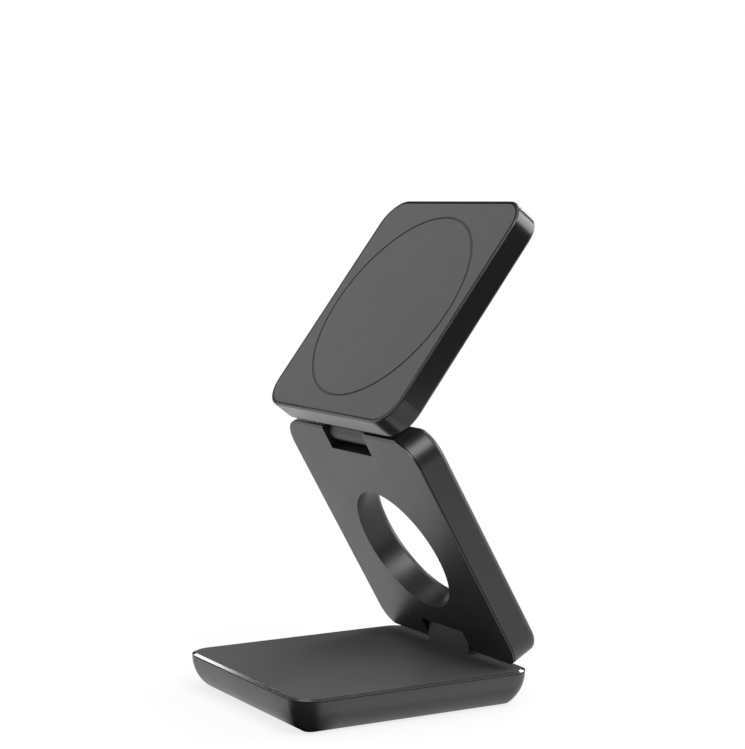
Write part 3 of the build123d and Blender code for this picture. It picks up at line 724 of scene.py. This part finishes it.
def velvet_fan(name, place, reach, heading, core, clear):
    """A lying card that is black along a heading and thins out to both sides, with its angles in degrees."""
    tree, shader, in_mm = velvet_card(name, place, (2 * reach, 2 * reach))
    turned = add_node(tree, "ShaderNodeMapping", {"Rotation": (0, 0, -radians(heading))}, {"Vector": in_mm})
    sweep = add_node(
        tree, "ShaderNodeTexGradient", {"gradient_type": "RADIAL"}, {"Vector": turned.outputs[0]}
    )
    # the gradient runs once round the circle and is a half along the heading
    past = add_node(tree, "ShaderNodeMath", {"operation": "SUBTRACT", 1: 0.5}, {0: sweep.outputs["Fac"]})
    away = add_node(tree, "ShaderNodeMath", {"operation": "ABSOLUTE"}, {0: past.outputs[0]})
    thin = add_node(
        tree, "ShaderNodeMapRange",
        {"interpolation_type": "SMOOTHSTEP", "From Min": core / 360, "From Max": clear / 360},
        {"Value": away.outputs[0]},
    )
    air = add_node(tree, "ShaderNodeBsdfTransparent")
    layers = {0: thin.outputs["Result"], 1: shader.outputs[0], 2: air.outputs[0]}
    mix = add_node(tree, "ShaderNodeMixShader", links=layers)
    show(tree, mix.outputs[0])


def seen_directly(tree):
    """One for rays from the camera or from a glossy or clear surface, and zero for the rest."""
    path = add_node(tree, "ShaderNodeLightPath").outputs
    seen = path["Is Camera Ray"]
    for kind in ("Is Glossy Ray", "Is Transmission Ray"):
        either = add_node(tree, "ShaderNodeMath", {"operation": "MAXIMUM"}, {0: seen, 1: path[kind]})
        seen = either.outputs[0]
    return seen


def pale_paper(colour, near, far):
    """Matte paper that stays white in the picture: a faint shadow near the charger, none far from it."""
    material, tree, shader, in_mm = start_finish("pale_paper_floor", roughness=1.0, specular_ior_level=0.0)
    shader.inputs["Base Color"].default_value = opaque(colour)
    reach = add_node(tree, "ShaderNodeVectorMath", {"operation": "LENGTH"}, {0: in_mm})
    share = add_node(
        tree, "ShaderNodeMapRange",
        {"From Min": near / MM, "From Max": far / MM, "To Min": 0.8, "To Max": 1.0},
        {"Value": reach.outputs["Value"]},
    )
    white = add_node(
        tree, "ShaderNodeMath", {"operation": "MULTIPLY"}, {0: share.outputs[0], 1: seen_directly(tree)}
    )
    glow = add_node(tree, "ShaderNodeEmission", {"Strength": 1.0})
    mix = add_node(
        tree, "ShaderNodeMixShader", links={0: white.outputs[0], 1: shader.outputs[0], 2: glow.outputs[0]}
    )
    show(tree, mix.outputs[0])
    return material


class CHARGER_OT_stage(bpy.types.Operator):
    """Set the floor, the cards, the lamps, the world and the camera"""

    bl_idname = "charger.stage"
    bl_label = "Set Stage"

    def execute(self, context):
        scene = context.scene
        stage = scene.charger_stage
        paper = pale_paper(stage.paper_colour, near=0.08, far=0.4)
        floor_side, floor_drop = 12.0, 0.1 * MM
        stage_sheet("floor", floor_side, floor_side, Matrix.Translation((0, 0, -floor_drop)), paper)

        scene.world = scene.world or bpy.data.worlds.new("studio")
        scene.world.use_nodes = True
        tree = scene.world.node_tree
        tree.nodes.clear()
        level = add_node(
            tree, "ShaderNodeMapRange",
            {"To Min": stage.world_light, "To Max": 1.0}, {"Value": seen_directly(tree)},
        )
        sky = add_node(tree, "ShaderNodeBackground", {"Color": (1, 1, 1, 1)}, {"Strength": level.outputs[0]})
        add_node(tree, "ShaderNodeOutputWorld", links={"Surface": sky.outputs[0]})

        card_spot = Vector((0.146, 0.07, 0.109))
        card_target = Vector((0.03, 0.02, 0.109))
        velvet_card("camera_card", facing(58, 18, 0.75), size=(0.56, 0.56))
        velvet_card("right_card", aim(card_spot, card_target), size=(0.18, 0.104))
        velvet_card("left_card", facing(-120, 20, 0.5), size=(1.0, 0.6))
        velvet_fan("corner_card", lying(0.021, -0.022), reach=0.32, heading=-58, core=24, clear=84)

        strip_spot = Vector((-0.212, 0.332, 0.241))
        right_corner = Vector((cad_high.x, -cad_low.y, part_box("base_lid")[1].z))
        softbox("top_box", facing(0, 85, 0.9), size=(0.8, 0.8), radiance=1.0)
        softbox("front_box", facing(-60, 20, 0.9), size=(0.6, 0.6), radiance=1.0)
        softbox("right_box", facing(90, 49, 0.8), size=(0.42, 0.42), radiance=6.0)
        softbox("rear_box", facing(170, 21, 0.8), size=(0.8, 0.35), radiance=4.0)
        softbox("left_strip", facing(-95, 17.9, 0.45), size=(0.12, 0.05), radiance=6.5)
        softbox("left_rear_strip", aim(strip_spot, right_corner), size=(0.05, 0.28), radiance=7.0)
        softbox("left_floor_box", lying(-0.051, -0.067), size=(0.138, 0.066), radiance=0.15)
        softbox("right_floor_box", lying(0.047, 0.0125), size=(0.026, 0.075), radiance=0.5)

        camera = bpy.data.cameras.new("camera")
        camera.sensor_fit = "AUTO"
        camera.sensor_width = FILM_LONG_SIDE
        camera.lens = stage.lens
        camera.clip_start = 0.01
        eye = bpy.data.objects.new("camera", camera)
        eye.matrix_world = aim(Vector(stage.camera_place), Vector(stage.camera_target))
        scene.collection.objects.link(eye)
        scene.camera = eye
        scene.view_settings.view_transform = "Standard"
        return {"FINISHED"}


GROUPS = {"charger_finish": ChargerFinish, "charger_wire": ChargerWire, "charger_stage": ChargerStage}
OPERATORS = (
    CHARGER_OT_shells,
    CHARGER_OT_contact_faces,
    CHARGER_OT_puck_cap,
    CHARGER_OT_hinges,
    CHARGER_OT_electronics,
    CHARGER_OT_windings,
    CHARGER_OT_inlet,
    CHARGER_OT_stage,
)


class CHARGER_PT_sidebar(bpy.types.Panel):
    """Sizes, colours and steps of the charger"""

    bl_idname = "CHARGER_PT_sidebar"
    bl_label = "Folding Charger"
    bl_space_type = "VIEW_3D"
    bl_region_type = "UI"
    bl_category = "Charger"

    def draw(self, context):
        for name, group in GROUPS.items():
            box = self.layout.box()
            box.label(text=group.__doc__)
            for prop in group.__annotations__:
                box.prop(getattr(context.scene, name), prop)
        for operator in OPERATORS:
            self.layout.operator(operator.bl_idname)


CLASSES = (*GROUPS.values(), *OPERATORS, CHARGER_PT_sidebar)


def register():
    for cls in CLASSES:
        bpy.utils.register_class(cls)
    for name, group in GROUPS.items():
        setattr(bpy.types.Scene, name, PointerProperty(type=group))


def unregister():
    for name in GROUPS:
        delattr(bpy.types.Scene, name)
    for cls in reversed(CLASSES):
        bpy.utils.unregister_class(cls)


def main():
    register()
    bpy.ops.charger.shells()
    bpy.ops.charger.contact_faces()
    bpy.ops.charger.puck_cap()
    bpy.ops.charger.hinges()
    bpy.ops.charger.electronics()
    bpy.ops.charger.windings()
    bpy.ops.charger.inlet()
    bpy.ops.charger.stage()


if __name__ == "__main__":
    main()
